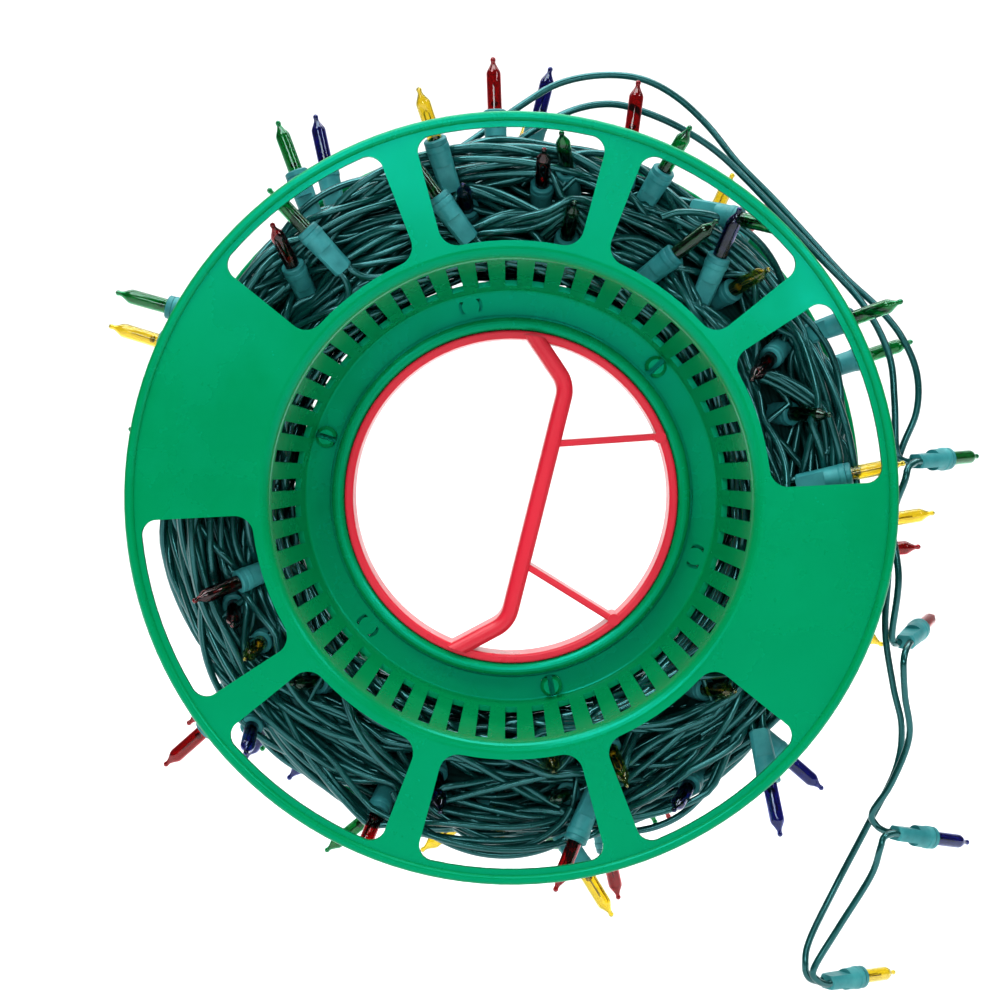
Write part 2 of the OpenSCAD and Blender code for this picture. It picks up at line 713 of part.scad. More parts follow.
front_half();
rear_half();
handle();
winding_core();
winding_turns();
front_lamps() lamp_holder();  // front_lamp_holders
rear_lamps() lamp_holder();  // rear_lamp_holders
rim_lamps() lamp_holder();  // rim_lamp_holders
front_lamps() lamp_base();  // front_lamp_bases
rear_lamps() lamp_base();  // rear_lamp_bases
rim_lamps() lamp_base();  // rim_lamp_bases
all_bulbs(RED);  // red_bulbs
all_bulbs(GREEN);  // green_bulbs
all_bulbs(BLUE);  // blue_bulbs
all_bulbs(YELLOW);  // yellow_bulbs
wire(return_points());  // return_wire
for (i = [0:3]) {
    wire(feed_points(i));
    at_tail(i) lamp_holder();
    at_tail(i) lamp_base();
    tail_bulb(i);
}
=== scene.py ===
import math

import bpy
import numpy as np
from mathutils import Matrix, Vector


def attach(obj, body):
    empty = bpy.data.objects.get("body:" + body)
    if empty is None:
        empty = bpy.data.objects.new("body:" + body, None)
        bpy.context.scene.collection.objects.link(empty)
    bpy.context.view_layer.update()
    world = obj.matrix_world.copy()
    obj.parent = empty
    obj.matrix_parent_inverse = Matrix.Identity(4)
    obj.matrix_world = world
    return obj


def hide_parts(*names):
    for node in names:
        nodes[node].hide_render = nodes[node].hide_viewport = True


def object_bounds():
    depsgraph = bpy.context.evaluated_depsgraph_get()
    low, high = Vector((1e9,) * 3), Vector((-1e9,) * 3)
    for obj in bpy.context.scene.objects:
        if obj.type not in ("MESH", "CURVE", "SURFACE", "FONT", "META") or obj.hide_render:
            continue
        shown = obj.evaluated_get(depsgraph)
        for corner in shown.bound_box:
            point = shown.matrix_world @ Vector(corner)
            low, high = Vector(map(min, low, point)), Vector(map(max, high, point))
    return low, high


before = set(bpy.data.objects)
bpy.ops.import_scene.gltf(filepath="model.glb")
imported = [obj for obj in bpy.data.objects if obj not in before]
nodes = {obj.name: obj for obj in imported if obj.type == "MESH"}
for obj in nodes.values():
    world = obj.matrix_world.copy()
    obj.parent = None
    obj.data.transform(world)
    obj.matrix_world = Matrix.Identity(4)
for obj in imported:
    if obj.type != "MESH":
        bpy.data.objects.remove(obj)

MM = 0.001
cad_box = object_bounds()


# ------------------------------------------------------------------ camera

CAMERA_PLACE = (0, -0.641, 0.0289)
CAMERA_DOWN = 2.69       # degrees below level
CAMERA_LEFT = 0.34       # degrees to the left of the reel's axis
LENS = 67.54             # mm, on a sensor of this width
SENSOR = 36


def add_camera():
    """The camera in front of the reel, a little above its axis."""
    data = bpy.data.cameras.new("camera")
    data.lens = LENS
    data.sensor_width = SENSOR
    camera = bpy.data.objects.new("camera", data)
    camera.location = CAMERA_PLACE
    camera.rotation_euler = (math.radians(90 - CAMERA_DOWN), 0, math.radians(CAMERA_LEFT))
    bpy.context.scene.collection.objects.link(camera)
    bpy.context.scene.camera = camera


add_camera()


# --------------------------------------------------------------- materials

def new_material(name, **sockets):
    """A material whose shader has these values, and its node tree."""
    material = bpy.data.materials.new(name)
    material.use_nodes = True
    tree = material.node_tree
    shader = tree.nodes["Principled BSDF"]
    for key, value in sockets.items():
        shader.inputs[key.replace("_", " ")].default_value = value
    return material, tree, shader


def add_node(tree, kind, inputs=(), **settings):
    """A shader node; an input is given a value, or another node's output to link."""
    node = tree.nodes.new(kind)
    for key, value in settings.items():
        setattr(node, key, value)
    for key, value in dict(inputs).items():
        if isinstance(value, bpy.types.NodeSocket):
            tree.links.new(value, node.inputs[key])
        else:
            node.inputs[key].default_value = value
    return node


def place_of(tree):
    """Where a point lies on its object, for the noises."""
    return add_node(tree, "ShaderNodeTexCoord").outputs["Object"]


def noise(tree, place, scale, detail=3, roughness=0.5):
    """A cloudy pattern, with scale waves to a metre."""
    return add_node(tree, "ShaderNodeTexNoise", {
        "Vector": place, "Scale": scale, "Detail": detail, "Roughness": roughness}).outputs["Fac"]


def ramp(tree, factor, low, high, dark, light):
    """Dark up to low, light from high on."""
    node = add_node(tree, "ShaderNodeValToRGB", {"Fac": factor})
    node.color_ramp.elements[0].position = low
    node.color_ramp.elements[1].position = high
    node.color_ramp.elements[0].color = (*dark, 1)
    node.color_ramp.elements[1].color = (*light, 1)
    return node.outputs["Color"]


def spread(tree, factor, low, high):
    """The middle part of a noise, stretched over low to high."""
    return add_node(tree, "ShaderNodeMapRange", {
        "Value": factor, "From Min": 0.3, "From Max": 0.7,
        "To Min": low, "To Max": high}).outputs["Result"]


def bump(tree, shader, height, strength, distance):
    """Makes the surface look raised by this height."""
    node = add_node(tree, "ShaderNodeBump", {
        "Height": height, "Strength": strength, "Distance": distance})
    tree.links.new(node.outputs["Normal"], shader.inputs["Normal"])


SKIN_SCALE = 900
SWELL_SCALE = 38
SKIN_SHARE = 0.12        # how much of the relief is the fine skin
RELIEF = 0.16
RELIEF_DEPTH = 0.0006
GLOSS_SCALE = 3.2        # patches of gloss to one cloud of the pigment


def moulded_plastic(name, dark, light, rough, grain=1.0, cloud=14, **sockets):
    """Moulded plastic: cloudy pigment, uneven gloss, and a fine skin on a soft swell."""
    material, tree, shader = new_material(name, **sockets)
    place = place_of(tree)
    pigment = noise(tree, place, cloud, 4, 0.55)
    tree.links.new(ramp(tree, pigment, 0.3, 0.7, dark, light), shader.inputs["Base Color"])
    gloss = noise(tree, place, GLOSS_SCALE * cloud, 5, 0.6)
    tree.links.new(spread(tree, gloss, *rough), shader.inputs["Roughness"])
    skin = noise(tree, place, SKIN_SCALE, 2)
    swell = noise(tree, place, SWELL_SCALE, 2)
    relief = add_node(tree, "ShaderNodeMath", {0: skin, 1: SKIN_SHARE, 2: swell},
                      operation="MULTIPLY_ADD")
    bump(tree, shader, relief.outputs["Value"], RELIEF * grain, RELIEF_DEPTH)
    return material


reel_plastic = moulded_plastic(
    "reel_green_plastic", (0.0, 0.215, 0.060), (0.0, 0.250, 0.072), rough=(0.20, 0.32), grain=0.6,
    Specular_IOR_Level=0.7, Specular_Tint=(0.02, 0.95, 0.90, 1))
grip_plastic = moulded_plastic(
    "grip_red_plastic", (0.74, 0.012, 0.032), (0.84, 0.018, 0.042), rough=(0.26, 0.38),
    Specular_IOR_Level=0.5, Specular_Tint=(1.0, 0.55, 0.55, 1), Coat_Weight=0.1, Coat_Roughness=0.14)
wire_skin = moulded_plastic(
    "wire_green_insulation", (0.001, 0.026, 0.024), (0.003, 0.052, 0.048), rough=(0.16, 0.25),
    grain=0.08, cloud=60, IOR=1.55, Specular_IOR_Level=1.0, Specular_Tint=(0.34, 0.95, 1.0, 1))
# Inner wires: the same green insulation as the outer ones, painted near black as painted shade deep in
# the winding.
inner_painted_shade = moulded_plastic(
    "inner_wires_painted_shade", (0.001, 0.008, 0.007), (0.002, 0.014, 0.012), rough=(0.45, 0.6),
    grain=0.6, cloud=60, Specular_IOR_Level=0.15, Specular_Tint=(0.2, 0.9, 0.9, 1))
holder_plastic = moulded_plastic(
    "holder_green_plastic", (0.012, 0.150, 0.165), (0.055, 0.330, 0.345), rough=(0.36, 0.56),
    grain=1.6, cloud=90, Specular_IOR_Level=0.45, Specular_Tint=(0.6, 1.0, 1.0, 1))
base_plastic = moulded_plastic(
    "base_green_plastic", (0.012, 0.140, 0.155), (0.045, 0.280, 0.295), rough=(0.34, 0.5),
    grain=1.2, cloud=90, Specular_IOR_Level=0.45, Specular_Tint=(0.6, 1.0, 1.0, 1))


LACQUER_SCALE = 220
GLASS_SCALE = 320
GLASS_RELIEF = 0.05
GLASS_RELIEF_DEPTH = 0.0002


def lamp_glass(name, colour, shade):
    """Clear coloured glass, darker by shade where the lacquer is thick."""
    material, tree, shader = new_material(
        name, Roughness=0.03, IOR=1.48, Transmission_Weight=1.0)
    place = place_of(tree)
    lacquer = noise(tree, place, LACQUER_SCALE, 2)
    dark = tuple(c * shade for c in colour)
    tree.links.new(ramp(tree, lacquer, 0.25, 0.75, dark, colour), shader.inputs["Base Color"])
    bump(tree, shader, noise(tree, place, GLASS_SCALE, 2), GLASS_RELIEF, GLASS_RELIEF_DEPTH)
    return material


glass = {
    "red": lamp_glass("glass_red_lacquer", (0.43, 0.012, 0.025), 0.75),
    "green": lamp_glass("glass_green_lacquer", (0.004, 0.34, 0.120), 0.7),
    "blue": lamp_glass("glass_blue_lacquer", (0.050, 0.055, 0.28), 0.7),
    "yellow": lamp_glass("glass_yellow_lacquer", (0.86, 0.70, 0.11), 0.85)}


TARNISH_SCALE = 400


def lead_metal():
    """Tarnished metal of the wires inside a bulb."""
    material, tree, shader = new_material("lamp_lead_metal", Metallic=1.0)
    place = place_of(tree)
    tarnish = noise(tree, place, TARNISH_SCALE)
    tree.links.new(ramp(tree, tarnish, 0.3, 0.7, (0.30, 0.20, 0.12), (0.50, 0.42, 0.34)),
                   shader.inputs["Base Color"])
    tree.links.new(spread(tree, tarnish, 0.25, 0.45), shader.inputs["Roughness"])
    return material


lead_wire_metal = lead_metal()


# ------------------------------------------------------------------- tools

def only(obj):
    """Makes obj the one selected and active object."""
    bpy.ops.object.select_all(action="DESELECT")
    obj.select_set(True)
    bpy.context.view_layer.objects.active = obj


def finish_piece(obj, material, body, slot, *cad_nodes):
    """Gives a finished piece its material and body, and hides the CAD nodes it stands for; slot is not
    used.
    """
    obj.data.materials.clear()
    obj.data.materials.append(material)
    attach(obj, body)
    if cad_nodes:
        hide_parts(*cad_nodes)


def drawn_wires(name, runs, diameter, sides=8):
    """A mesh of round wires that follow these runs of points, in metres."""
    data = bpy.data.curves.new(name, "CURVE")
    data.dimensions = "3D"
    data.bevel_depth = diameter / 2
    data.bevel_resolution = sides // 2 - 2
    data.use_fill_caps = True
    for run in runs:
        spline = data.splines.new("POLY")
        spline.points.add(len(run) - 1)
        spline.points.foreach_set("co", np.column_stack([run, np.ones(len(run))]).ravel())
    obj = bpy.data.objects.new(name, data)
    bpy.context.scene.collection.objects.link(obj)
    only(obj)
    bpy.ops.object.convert(target="MESH")
    bpy.ops.object.shade_smooth()
    return bpy.context.view_layer.objects.active


def smooth_run(points, parts=6):
    """A smooth curve (Catmull-Rom) through the points, in this many parts from each to the next."""
    points = np.array(points, float)
    padded = np.vstack([2 * points[0] - points[1], points, 2 * points[-1] - points[-2]])
    out = []
    for i in range(1, len(padded) - 2):
        p0, p1, p2, p3 = padded[i - 1:i + 3]
        for t in np.arange(parts) / parts:
            out.append(p1 + 0.5 * t * (p2 - p0 + t * (2 * p0 - 5 * p1 + 4 * p2 - p3
                                                     + t * (3 * (p1 - p2) + p3 - p0))))
    return np.array([*out, padded[-2]])


def turned(name, rings, sides):
    """A solid of revolution on Z through rings of (radius, height) in mm."""
    radius, height = rings[0]
    bpy.ops.object.select_all(action="DESELECT")
    bpy.ops.mesh.primitive_circle_add(
        vertices=sides, radius=radius * MM, fill_type="NGON", location=(0, 0, height * MM))
    obj = bpy.context.view_layer.objects.active
    obj.name = obj.data.name = name
    bpy.ops.object.transform_apply(location=True)
    bpy.ops.object.mode_set(mode="EDIT")
    bpy.ops.mesh.select_all(action="SELECT")
    for wider, higher in rings[1:]:
        bpy.ops.mesh.extrude_region_move(
            TRANSFORM_OT_translate={"value": (0, 0, (higher - height) * MM)})
        bpy.ops.transform.resize(value=(wider / radius, wider / radius, 1))
        radius, height = wider, higher
    bpy.ops.mesh.select_all(action="SELECT")
    bpy.ops.mesh.normals_make_consistent(inside=False)
    bpy.ops.object.mode_set(mode="OBJECT")
    return obj


def copies(name, master, places):
    """One piece made of a copy of master at each place."""
    made = []
    for place in places:
        part = bpy.data.objects.new(name, master.data.copy())
        part.data.transform(place)
        bpy.context.scene.collection.objects.link(part)
        made.append(part)
    only(made[0])
    for part in made:
        part.select_set(True)
    if len(made) > 1:
        bpy.ops.object.join()
    return bpy.context.view_layer.objects.active


# ------------------------------------------------------------------- lamps

GLASS_NODES = {colour: f"{colour}_bulbs" for colour in ("red", "green", "blue", "yellow")}
TAIL_COLOURS = ["green", "red", "blue", "yellow"]
LAMP_LENGTH = 36         # mm from the wire end of the holder to the tip of the glass
GLASS_WALL = 0.42
LEAD = 0.42              # mm across the wires inside a bulb
FILAMENT = 0.22


def lamp_places(node):
    """The places of a CAD node's bulbs, as matrices for a lamp modelled up Z from its wire end."""
    bulbs = nodes[node].copy()
    bulbs.data = nodes[node].data.copy()
    bulbs.parent = None
    bpy.context.scene.collection.objects.link(bulbs)
    only(bulbs)
    bpy.ops.object.mode_set(mode="EDIT")
    bpy.ops.mesh.select_all(action="SELECT")
    bpy.ops.mesh.remove_doubles(threshold=1e-6)
    bpy.ops.mesh.separate(type="LOOSE")
    bpy.ops.object.mode_set(mode="OBJECT")
    places = []
    for part in list(bpy.context.selected_objects):
        points = np.array([v.co for v in part.data.vertices])
        centre = points.mean(0)
        along = np.linalg.svd(points - centre, full_matrices=False)[2][0]
        reach = (points - centre) @ along
        if reach.max() > -reach.min():      # the tip has the more points, so the foot is further off
            reach = -reach
        tip = points[reach.argmax()]
        foot = points[reach < reach.min() + 1e-5].mean(0)
        axis = Vector(tip - foot).normalized()
        turn = axis.to_track_quat("Z", "Y").to_matrix().to_4x4()
        places.append(Matrix.Translation(Vector(tip) - axis * (LAMP_LENGTH * MM)) @ turn)
        bpy.data.meshes.remove(part.data)
    return sorted(places, key=lambda m: (round(m.translation.x, 5), round(m.translation.z, 5)))


lamps = {colour: lamp_places(node) for colour, node in GLASS_NODES.items()}
tail_lamps = [lamp_places(f"tail_bulb_{i + 1}")[0] for i in range(len(TAIL_COLOURS))]


def model_glass():
    """A thin glass tube, drawn in to a pinched tip."""
    rings = [(2.20, 12.0), (2.42, 12.4), (2.43, 18), (2.44, 30.2), (2.36, 30.9),
             (2.05, 31.6), (1.45, 32.6), (0.98, 33.5), (0.78, 34.1), (0.80, 34.5), (0.92, 34.9),
             (0.90, 35.3), (0.66, 35.7), (0.30, 35.95)]
    obj = turned("glass_model", rings, 20)
    only(obj)
    shell = obj.modifiers.new("wall", "SOLIDIFY")
    shell.thickness = GLASS_WALL * MM
    shell.offset = -1
    bpy.ops.object.modifier_apply(modifier="wall")
    bpy.ops.object.shade_smooth()
    return obj


def model_leads():
    """What stands inside a bulb: two leads through a bead, and the filament between their ends."""
    top = 27
    bend = [(0.85, 12.6), (0.85, 18), (0.62, 19.5), (0.62, 21.5), (1.05, 25), (1.0, top)]
    runs = [[(s * x * MM, 0, z * MM) for x, z in bend] for s in (-1, 1)]
    coil = [(x * MM, 0.25 * math.sin(9 * x) * MM, (top + 0.9 * (1 - x * x)) * MM)
            for x in np.linspace(-1, 1, 13)]
    leads = drawn_wires("leads_model", runs, LEAD * MM, 6)
    filament = drawn_wires("filament_model", [coil], FILAMENT * MM, 6)
    bead_rings = [(0.5, 19.6), (1.15, 20.0), (1.25, 20.5), (1.15, 21.0), (0.5, 21.4)]
    bead = turned("bead_model", bead_rings, 12)
    only(leads)
    filament.select_set(True)
    bead.select_set(True)
    bpy.ops.object.join()
    return leads


glass_model = model_glass()
leads_model = model_leads()
for colour, places in lamps.items():
    piece = copies(f"{colour}_lamp_glass", glass_model, places)
    finish_piece(piece, glass[colour], "spool", f"glass_{colour}", GLASS_NODES[colour])
for i, (place, colour) in enumerate(zip(tail_lamps, TAIL_COLOURS)):
    piece = copies(f"tail_lamp_glass_{i + 1}", glass_model, [place])
    finish_piece(piece, glass[colour], "spool", f"glass_{colour}", f"tail_bulb_{i + 1}")
wound_lamps = [place for places in lamps.values() for place in places]
wound_leads = copies("lamp_leads_inside", leads_model, wound_lamps)
finish_piece(wound_leads, lead_wire_metal, "spool", "glass_yellow")
for i, place in enumerate(tail_lamps):
    tail_leads = copies(f"tail_leads_inside_{i + 1}", leads_model, [place])
    finish_piece(tail_leads, lead_wire_metal, "spool", "glass_yellow")
bpy.data.objects.remove(glass_model)
bpy.data.objects.remove(leads_model)


# ------------------------------------------------------------ wound string

# The string goes round the reel in turns, and each turn is a bundle of its three wires. The
# wires are laid out slice by slice round the reel, in mm, as a radius and a y in each slice.
SLICES = 192
BUNDLES = 40
STRANDS = 3
WIRE = 2.4               # over its insulation
WIRE_GAP = 0.08          # air that the settling aims at between two wires
HUB_RADIUS = 71.4        # outer side of the hub cone in the middle plane
HUB_SLOPE = 0.2558       # what the cone widens by for each mm towards a flange
HUB_ROOM = 0.6           # air between the cone and the wires
HEART_RADIUS = 93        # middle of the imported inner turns
HEART_DEEP = 7           # half of what they take up along the radius, and along y
HEART_WIDE = 8.0
SHOULDER = 16            # from this y on the outside of the winding slopes down
SHOULDER_SLOPE = 0.25
BUNDLE_RADII = (75, 116)           # where middles of bundles are tried, and their furthest y
BUNDLE_REACH = 23
BUNDLE_ON_HUB = 3        # least distance from the cone to the middle of a bundle
BUNDLE_BY_HEART = 6      # and from the heart's middle, along the radius
CORNER = (108, 19)       # no bundle has its middle past both this radius and this y
TRIES = 400              # places tried for each bundle; the one with the most room is taken
rng = np.random.default_rng(11)


def hub_edge(y):
    """Radius of the hub cone's outer side at that distance from the middle plane, in mm."""
    return HUB_RADIUS + HUB_SLOPE * np.abs(y)


def is_free(r, y):
    """Whether the middle of a bundle may lie there: off the cone, the heart and the corners."""
    on_hub = r < hub_edge(y) + BUNDLE_ON_HUB
    beside_heart = HEART_RADIUS - BUNDLE_BY_HEART < r < HEART_RADIUS + BUNDLE_BY_HEART
    in_heart = beside_heart and abs(y) < HEART_WIDE
    in_corner = r > CORNER[0] and abs(y) > CORNER[1]
    return not (on_hub or in_heart or in_corner)


def bundle_middles():
    """Middles of the bundles as (radius, y), each as free as can be, in the order they are wound."""
    found = []
    while len(found) < BUNDLES:
        tries = np.column_stack([rng.uniform(*BUNDLE_RADII, TRIES),
                                 rng.uniform(-BUNDLE_REACH, BUNDLE_REACH, TRIES)])
        best = None
        for r, y in tries:
            if not is_free(r, y):
                continue
            room = min((math.hypot(r - a, y - b) for a, b in found), default=math.inf)
            if best is None or room > best[0]:
                best = (room, r, y)
        found.append(best[1:])
    middles, here = [], min(found)
    while found:
        here = min(found, key=lambda m: math.hypot(m[0] - here[0], m[1] - here[1]))
        found.remove(here)
        middles.append(here)
    return np.array(middles)


def wander(turns, size, low, high, waves):
    """Smooth random drift along a run: a sum of waves, each with low to high periods to a turn."""
    out = np.zeros_like(turns)
    for _ in range(waves):
        out += math.sqrt(2 / waves) * np.sin(
            2 * math.pi * (turns * rng.uniform(low, high) + rng.uniform()))
    return size * out


def keep_in(r, y, roof, rim):
    """Keeps the wires between the hub, the flanges and the winding's outside, and out of its heart."""
    y = np.clip(y, -roof, roof)
    outside = rim - SHOULDER_SLOPE * np.clip(np.abs(y) - SHOULDER, 0, None)
    r = np.clip(r, hub_edge(y) + WIRE / 2 + HUB_ROOM, outside)
    heart_r, heart_y = (r - HEART_RADIUS) / HEART_DEEP, y / HEART_WIDE
    depth = np.maximum(np.abs(heart_r), np.abs(heart_y))
    inside = depth < 1
    out = np.where(inside, 1 / np.maximum(depth, 0.2), 1)
    return (np.where(inside, HEART_RADIUS + HEART_DEEP * heart_r * out, r),
            np.where(inside, HEART_WIDE * heart_y * out, y))


def push_apart(r, y):
    """One step that moves wires which overlap in a slice apart, a block of slices at a time."""
    reach = WIRE + WIRE_GAP
    block = 24
    for start in range(0, SLICES, block):
        part = slice(start, start + block)
        a, b = r[:, part], y[:, part]
        dr, dy = a[:, None] - a[None], b[:, None] - b[None]
        gap = np.sqrt(dr * dr + dy * dy) + 1e-4
        close = np.where((gap < reach) & (gap > 1e-3), (reach - gap) / gap * 0.5, 0)
        busy = 1 + 0.35 * (close > 0).sum(1)       # a wire with many neighbours moves with care
        r[:, part] = a + (close * dr).sum(1) / busy
        y[:, part] = b + (close * dy).sum(1) / busy
    return r, y


BASE_END = 18.5          # mm up a lamp: the glass stands free from here on
FOOT_END = 7             # mm up a lamp: its foot lies among the wires
BASE_RADIUS = 3.9        # of holder and base, and of the glass, as the wires see them
GLASS_RADIUS = 2.5
LAMP_AIR = 0.1
BODY_STEP = 1.75         # mm between the points up a lamp
LEVEL = 0.05             # up to this slope wires lie on both sides of a lamp
STEEP = 0.7              # from this slope they go round it


def lamp_bodies():
    """Points up the middle of the wound lamps, with their room and how the wires give way to each."""
    along = np.arange(0.5, LAMP_LENGTH, BODY_STEP)
    room = np.where(along < BASE_END, BASE_RADIUS, GLASS_RADIUS) + WIRE / 2 + LAMP_AIR
    points, rooms, ways = [], [], []
    for place in wound_lamps:
        axis = np.array(place.col[2][:3])
        slope = abs(axis[1])
        way = "beside" if slope < LEVEL else ("round" if slope > STEEP else "under")
        points.append(np.array(place.translation) / MM + along[:, None] * axis)
        rooms.append(room)
        ways += ["beside" if z < FOOT_END else way for z in along]
    return np.concatenate(points), np.concatenate(rooms), ways


PUSH = 0.6               # share of an overlap that one step takes away
DROP = 0.4               # the same where wires sink behind a lamp, and the most in one step, in mm
DEEPEST_DROP = 1.2
BEHIND = 0.8             # wires count as over a lamp from this share of its room behind its middle
NUDGE = 0.01             # mm, moves a wire that is just at a lamp's middle


def clear_lamps(r, y, c, s, bodies, rooms, ways):
    """One step that moves the wires out of the lamps, and from in front of those that lie on top."""
    x, z = r * c, r * s
    turn = np.arctan2(bodies[:, 2], bodies[:, 0]) / (2 * math.pi) * SLICES
    for point, room, way, home in zip(bodies, rooms, ways, np.round(turn).astype(int)):
        span = np.arange(home - 2, home + 3) % SLICES      # the slices that a point can touch
        dx, dy, dz = x[:, span] - point[0], y[:, span] - point[1], z[:, span] - point[2]
        outward = dx * c[span] + dz * s[span]
        side = 1 if point[1] > 0 else -1
        if way == "beside":
            gap = np.sqrt(dx * dx + dy * dy + dz * dz) + 1e-4
            push = np.where(gap < room, (room - gap) / gap, 0) * PUSH
            r[:, span] += push * (outward + NUDGE)
            y[:, span] += push * dy
            continue
        gap = np.sqrt(dx * dx + dz * dz) + 1e-4
        above = (gap < room) & (side * dy > -BEHIND * room)
        if way == "round":
            push = np.where(above, (room - gap) / gap, 0) * PUSH
            r[:, span] += push * (outward + NUDGE)
        else:
            drop = side * dy + np.sqrt(np.maximum(room * room - gap * gap, 0))
            y[:, span] -= side * np.where(above, np.minimum(drop * DROP, DEEPEST_DROP), 0)
    return r, y


# Drifts: size in mm (of TWIST_DRIFT in turns), least and most periods to a turn, number of waves.
LINE_DRIFT_R = (4.6, 1.5, 5.5, 9)
LINE_DRIFT_Y = (4.2, 1.5, 5.0, 9)
TWIST_DRIFT = (0.7, 0.1, 0.5, 5)
OPEN_DRIFT = (1.1, 0.8, 2.4, 5)
LOOSE_DRIFT = (2.8, 2.0, 6.0, 6)
ROOF_DRIFT = (4.6, 1.0, 3.5, 6)
RIM_DRIFT = (4.0, 1.0, 3.5, 6)
TWISTS = 8               # twists of the three wires to a turn
OPEN_OUT = 2.3           # mm from the middle of a bundle to its wires
ROOF = 20.5              # furthest y of a wire, and the limits of its drift
ROOF_LIMITS = (12, 28)
RIM = 114.5              # largest radius of a wire, and the limits of its drift
RIM_LIMITS = (108, 119.5)
SETTLING = 70            # steps until the wires lie free of each other and of the lamps
SMOOTHING = 0.25         # how far a step draws each point to the middle of its neighbours


def strand(grid, k):
    """The rows of the grid that belong to one wire of the string."""
    return grid[k * BUNDLES:(k + 1) * BUNDLES]


def bundle_line(turns):
    """The middle of the string all along the winding: over from bundle to bundle, with a drift."""
    middles = bundle_middles()
    here = np.minimum(turns.astype(int), BUNDLES - 1)
    after = np.minimum(here + 1, BUNDLES - 1)
    ease = turns - here
    ease = (ease * ease * (3 - 2 * ease))[:, None]
    line = middles[here] * (1 - ease) + middles[after] * ease
    return line + np.column_stack([wander(turns, *LINE_DRIFT_R), wander(turns, *LINE_DRIFT_Y)])


def loose_wires():
    """Radius and y of the three twisted wires before they settle, and the limits of each."""
    turns = np.arange(BUNDLES * SLICES) / SLICES
    line = bundle_line(turns)
    twist = 2 * math.pi * (turns * TWISTS + wander(turns, *TWIST_DRIFT))
    open_out = OPEN_OUT + wander(turns, *OPEN_DRIFT)
    wires, roofs, rims = [], [], []
    for k in range(STRANDS):
        phase = twist + 2 * math.pi * k / STRANDS
        around = np.column_stack([np.cos(phase), np.sin(phase)]) * open_out[:, None]
        loose = np.column_stack([wander(turns, *LOOSE_DRIFT), wander(turns, *LOOSE_DRIFT)])
        wires.append(line + around + loose)
        roofs.append((ROOF + wander(turns, *ROOF_DRIFT)).reshape(BUNDLES, SLICES))
        rims.append((RIM + wander(turns, *RIM_DRIFT)).reshape(BUNDLES, SLICES))
    r = np.concatenate([w[:, 0].reshape(BUNDLES, SLICES) for w in wires])
    y = np.concatenate([w[:, 1].reshape(BUNDLES, SLICES) for w in wires])
    roof = np.clip(np.concatenate(roofs), *ROOF_LIMITS)
    rim = np.clip(np.concatenate(rims), *RIM_LIMITS)
    return r, y, roof, rim


def wound_paths():
    """The three wires of the string, each a run of points right through the winding, in mm."""
    r, y, roof, rim = loose_wires()
    angle = 2 * math.pi * np.arange(SLICES) / SLICES
    c, s = np.cos(angle), np.sin(angle)
    lamps_at = lamp_bodies()
    for step in range(SETTLING):
        for k in range(STRANDS):
            for grid in (r, y):
                run = strand(grid, k).reshape(-1)
                run[1:-1] += SMOOTHING * ((run[:-2] + run[2:]) / 2 - run[1:-1])
                strand(grid, k)[:] = run.reshape(BUNDLES, SLICES)
        r, y = push_apart(r, y)
        if step % 2 == 0:
            r, y = clear_lamps(r, y, c, s, *lamps_at)
        r, y = keep_in(r, y, roof, rim)
    x, z = r * c, r * s
    return [np.column_stack([strand(g, k).ravel() for g in (x, y, z)]) for k in range(STRANDS)]


STRAY_FOOT = 105         # radius at which loose strands leave the winding
STRAY_RISE = 0.75        # below 1 they rise fast at their ends
STRAY_SWAY = 1.2
# Each loose strand: from and to, in degrees, the largest radius, and y at each end.
STRAYS = [
    (248, 288, 119.4, -22, -17), (279, 313, 121.0, -19, -12), (256, 281, 117.0, -15, -20),
    (104, 141, 118.5, -20, -12), (112, 150, 116.5, -10, -19), (58, 88, 119.0, -17, -6),
    (30, 62, 118.0, -12, -21), (8, 41, 116.5, -20, -13), (196, 238, 118.0, -18, -9),
    (208, 247, 119.5, -8, 4), (300, 338, 118.0, 2, 12), (86, 121, 119.0, 3, 14),
    (20, 55, 118.5, 16, 6), (150, 186, 117.5, 10, 19), (228, 268, 118.5, 18, 8)]


def stray_turns():
    """The loose strands that stand off the winding."""
    runs = []
    for start, end, peak, y0, y1 in STRAYS:
        t = np.linspace(0, 1, 19)[:, None]
        angle = np.radians(start + (end - start) * t)
        r = STRAY_FOOT + (peak - STRAY_FOOT) * np.sin(math.pi * t) ** STRAY_RISE
        y = y0 + (y1 - y0) * t + STRAY_SWAY * np.sin(2 * math.pi * t)
        runs.append(smooth_run(np.hstack([r * np.cos(angle), y, r * np.sin(angle)]), 3) * MM)
    return runs


for k, run in enumerate(wound_paths()):
    strays = stray_turns()[k::STRANDS]
    piece = drawn_wires(f"wound_wire_{k + 1}", [run * MM, *strays], WIRE * MM)
    finish_piece(piece, wire_skin, "spool", "wire_green", *(["winding_turns"] if k == 0 else []))


HEART_BODY = (6.5, 8.5)  # half of the inner turns' section without its ridges, along r and along y
RIDGE = 1.3              # how far each inner wire stands out of it


def heart_outline():
    """Section of the inner turns: a rectangle whose sides are ridged by the wires in it."""
    deep, wide = HEART_BODY
    low, high = HEART_RADIUS - deep, HEART_RADIUS + deep
    corners = [(low, -wide), (high, -wide), (high, wide), (low, wide), (low, -wide)]
    points_a_ridge = 3
    outline = []
    for (r0, y0), (r1, y1) in zip(corners, corners[1:]):
        steps = max(2, round(math.hypot(r1 - r0, y1 - y0) / WIRE)) * points_a_ridge
        nr, ny = (y1 - y0), -(r1 - r0)
        size = math.hypot(nr, ny)
        for i in range(steps):
            t = i / steps
            swell = RIDGE * abs(math.sin(math.pi * i / points_a_ridge))
            r = r0 + (r1 - r0) * t + nr / size * swell
            y = y0 + (y1 - y0) * t + ny / size * swell
            outline.append((r, y))
    return outline


